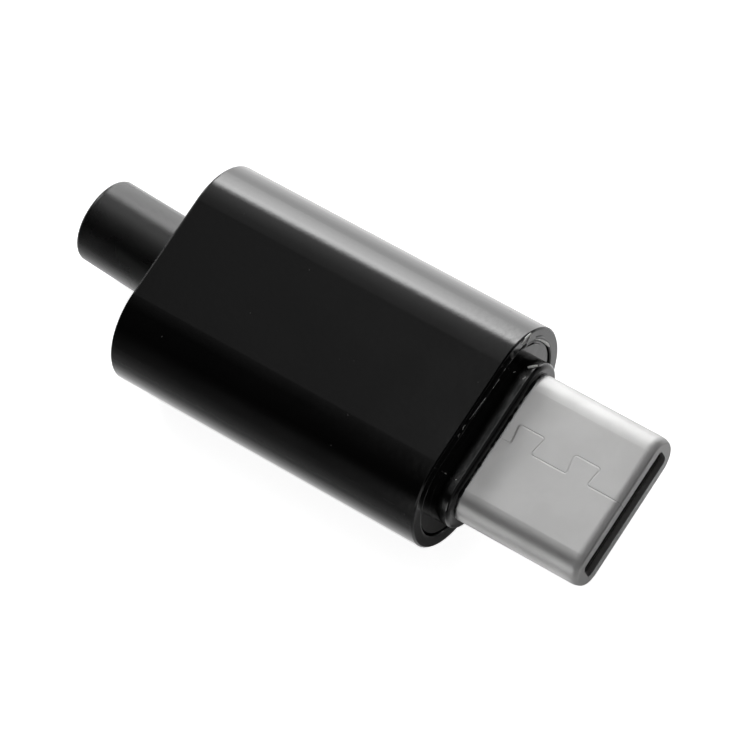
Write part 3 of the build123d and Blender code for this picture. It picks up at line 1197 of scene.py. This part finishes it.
class PLUG_OT_set_stage(bpy.types.Operator):
    """Sets the floor, the lamps and the camera"""

    bl_idname = "plug.set_stage"
    bl_label = "Set the stage"

    def execute(self, context):
        stage = context.scene.plug_stage
        self.lay_floor(stage)
        self.hang_lamps(stage)
        self.light_world(context)
        self.set_camera(context, stage)
        context.scene.view_settings.view_transform = "Standard"
        return {"FINISHED"}

    def lay_floor(self, stage):
        mesh = bpy.data.meshes.new("floor")
        shape = bmesh.new()
        bmesh.ops.create_grid(shape, x_segments=1, y_segments=1, size=FLOOR_HALF)
        shape.to_mesh(mesh)
        shape.free()
        mesh.transform(Matrix.Translation((0, 0, part_low.z)))
        floor = bpy.data.objects.new("floor", mesh)
        bpy.context.scene.collection.objects.link(floor)
        mesh.materials.append(self.floor_material(stage))

    def floor_material(self, stage):
        """Matte and white behind the plug; its glow in gloss is painted light and painted shadow.
        """
        pale = bpy.data.materials.new("pale_floor")
        pale.use_nodes = True
        tree = pale.node_tree
        tree.nodes.clear()
        matte = add_node(tree, "ShaderNodeBsdfDiffuse", {"Color": (*stage.floor_colour, 1)})
        path = add_node(tree, "ShaderNodeLightPath")
        spot = add_node(tree, "ShaderNodeTexCoord").outputs["Object"]
        apart = add_node(tree, "ShaderNodeSeparateXYZ", {0: spot})
        # The glow that gloss shows is painted: it fades on the far side, is painted shadow beside
        # the cap and the shell and ahead of the nose, and is a painted pool of light brightest
        # beside the boot
        side = floor_fade(tree, apart.outputs["Y"], -13, -6.6, 0.0, 0.93)
        before_ring = floor_fade(tree, apart.outputs["X"], -8.6, -7.8, 1.0, 0.0)
        beside_shell = floor_fade(tree, apart.outputs["X"], -5.9, -5.0, 0.0, 0.78)
        clear_of_ring = floor_fade(tree, apart.outputs["Y"], -6.4, -5.4, 0.9, 0.0)
        behind = floor_fade(tree, apart.outputs["X"], -38, -28, 0.2, 1.0)
        # Painted shadow on the floor just before the housing's ring
        outside_painted_shadow = larger(tree, larger(tree, before_ring, beside_shell), clear_of_ring)
        painted_dim_side = product(tree, outside_painted_shadow, behind)
        beside_boot = floor_fade(tree, apart.outputs["X"], -28, -26, 1.35, 1.0)
        beside_nose = floor_fade(tree, apart.outputs["X"], -8, -6, 1.0, 0.79)
        toward_light = floor_fade(tree, apart.outputs["Y"], -1, 3, 0.0, 1.0)
        # A painted pool of light on the +Y side, brightest beside the boot
        painted_light_pool = product(tree, toward_light, beside_boot, beside_nose)
        # Painted shadow ahead of the nose
        ahead = floor_fade(tree, apart.outputs["X"], -2.6, -0.6, 1.0, 0.0)
        painted_floor_reflection = product(tree, side, larger(tree, painted_dim_side, painted_light_pool), ahead)
        # Only gloss sees this painted light and shadow
        painted_reflection_level = product(tree, painted_floor_reflection, path.outputs["Is Glossy Ray"])
        seen = larger(tree, path.outputs["Is Camera Ray"], path.outputs["Is Transmission Ray"])
        strength = summed(tree, product(tree, seen, BACKDROP_LEVEL), painted_reflection_level)
        glow = add_node(tree, "ShaderNodeEmission", {"Color": (1, 1, 1, 1), "Strength": strength})
        both = add_node(tree, "ShaderNodeAddShader", {0: matte.outputs[0], 1: glow.outputs[0]})
        out = add_node(tree, "ShaderNodeOutputMaterial")
        tree.links.new(both.outputs[0], out.inputs["Surface"])
        return pale

    def hang_lamps(self, stage):
        centre = (part_low + part_high) / 2
        for name, cosines, levels in SOFTBOXES:
            softbox(name, cosines, levels, stage.lamp_level, centre)
        self.lay_side_card(stage)
        self.lay_far_card(stage)
        self.hang_fill(stage, centre)

    def lay_side_card(self, stage):
        """A glowing card beside the housing that shows only in gloss, in its lower flank: a painted
        pool of light.
        """
        height = part_low.z + CARD_HEIGHT
        rows = [
            [Vector((x * MM, y * MM, height)) for x, _ in SIDE_CARD_ACROSS] for y, _ in SIDE_CARD
        ]
        shades = [
            [1.0 + stage.lamp_level * (level - 1.0) * share for _, share in SIDE_CARD_ACROSS]
            for _, level in SIDE_CARD
        ]
        hang_panel("side_card", rows, shades, False)

    def lay_far_card(self, stage):
        """A dimly glowing card on the floor of the dim side, which only gloss shows: painted shade
        there.
        """
        height = part_low.z + CARD_HEIGHT
        rows = [[Vector((x * MM, y * MM, height)) for x in FAR_CARD_ENDS] for y, _ in FAR_CARD]
        shades = [[stage.lamp_level * level] * len(FAR_CARD_ENDS) for _, level in FAR_CARD]
        hang_panel("far_card", rows, shades, False)

    def hang_fill(self, stage, centre):
        """A broad lamp that brings matte colours to their plain level and shows in no gloss."""
        data = bpy.data.lights.new("fill_lamp", "AREA")
        data.shape = "RECTANGLE"
        data.size = data.size_y = FILL_SIZE
        data.energy = stage.lamp_level * FILL_LEVEL * FILL_SIZE * FILL_SIZE * math.pi
        made = bpy.data.objects.new("fill_lamp", data)
        bpy.context.scene.collection.objects.link(made)
        way = Vector(FILL_WAY).normalized()
        made.location = centre + SOFTBOX_DISTANCE * way
        made.rotation_mode = "QUATERNION"
        made.rotation_quaternion = way.to_track_quat("Z", "Y")
        made.visible_camera = False
        made.visible_glossy = False

    def light_world(self, context):
        world = bpy.data.worlds.new("studio")
        context.scene.world = world
        world.use_nodes = True
        dim = world.node_tree.nodes["Background"]
        dim.inputs["Color"].default_value = (1, 1, 1, 1)
        dim.inputs["Strength"].default_value = WORLD_LEVEL

    def set_camera(self, context, stage):
        turn, rise, roll = stage.camera_azimuth, stage.camera_elevation, stage.camera_roll
        back = Vector(
            (math.sin(turn) * math.cos(rise), -math.cos(turn) * math.cos(rise), math.sin(rise))
        )
        level_right = Vector((math.cos(turn), math.sin(turn), 0))
        level_up = back.cross(level_right)
        right = math.cos(roll) * level_right + math.sin(roll) * level_up
        up = back.cross(right)
        data = bpy.data.cameras.new("camera")
        data.lens = stage.lens
        data.sensor_width = SENSOR_WIDTH
        data.clip_start = 0.01
        data.clip_end = 20.0
        focal_pixels = stage.lens / SENSOR_WIDTH * PICTURE_SIDE
        distance = stage.camera_distance
        aside = (NOSE_PIXEL[0] - PICTURE_SIDE / 2) / focal_pixels * distance
        below = (NOSE_PIXEL[1] - PICTURE_SIDE / 2) / focal_pixels * distance
        camera = bpy.data.objects.new("camera", data)
        context.scene.collection.objects.link(camera)
        camera.location = distance * back - aside * right + below * up
        camera.rotation_mode = "QUATERNION"
        camera.rotation_quaternion = Matrix((right, up, back)).transposed().to_quaternion()
        context.scene.camera = camera


class PLUG_PT_dressing(bpy.types.Panel):
    """Lists the plug's steps and settings"""

    bl_idname = "PLUG_PT_dressing"
    bl_label = "Plug"
    bl_space_type = "VIEW_3D"
    bl_region_type = "UI"
    bl_category = "Plug"

    def draw(self, context):
        for step in STEPS:
            self.layout.operator(step.bl_idname)
        for settings in (
            context.scene.plug_finishes,
            context.scene.plug_marks,
            context.scene.plug_stage,
        ):
            box = self.layout.box()
            for key in settings.__annotations__:
                box.prop(settings, key)


STEPS = (
    PLUG_OT_finish_shell,
    PLUG_OT_finish_mouldings,
    PLUG_OT_finish_inner_metal,
    PLUG_OT_add_flash,
    PLUG_OT_add_rim_glue,
    PLUG_OT_add_painted_glints,
    PLUG_OT_plate_seam,
    PLUG_OT_set_stage,
)
SETTINGS = {
    "plug_finishes": PlugFinishes,
    "plug_marks": PlugMarks,
    "plug_stage": PlugStage,
}


def register():
    for kind in (*SETTINGS.values(), *STEPS, PLUG_PT_dressing):
        bpy.utils.register_class(kind)
    for name, kind in SETTINGS.items():
        setattr(bpy.types.Scene, name, PointerProperty(type=kind))


def unregister():
    for name in SETTINGS:
        delattr(bpy.types.Scene, name)
    for kind in reversed((*SETTINGS.values(), *STEPS, PLUG_PT_dressing)):
        bpy.utils.unregister_class(kind)


def main():
    register()
    bpy.ops.plug.finish_shell()
    bpy.ops.plug.finish_mouldings()
    bpy.ops.plug.finish_inner_metal()
    bpy.ops.plug.add_flash()
    bpy.ops.plug.add_rim_glue()
    bpy.ops.plug.add_dried_glue()
    bpy.ops.plug.plate_seam()
    bpy.ops.plug.set_stage()


if __name__ == "__main__":
    main()
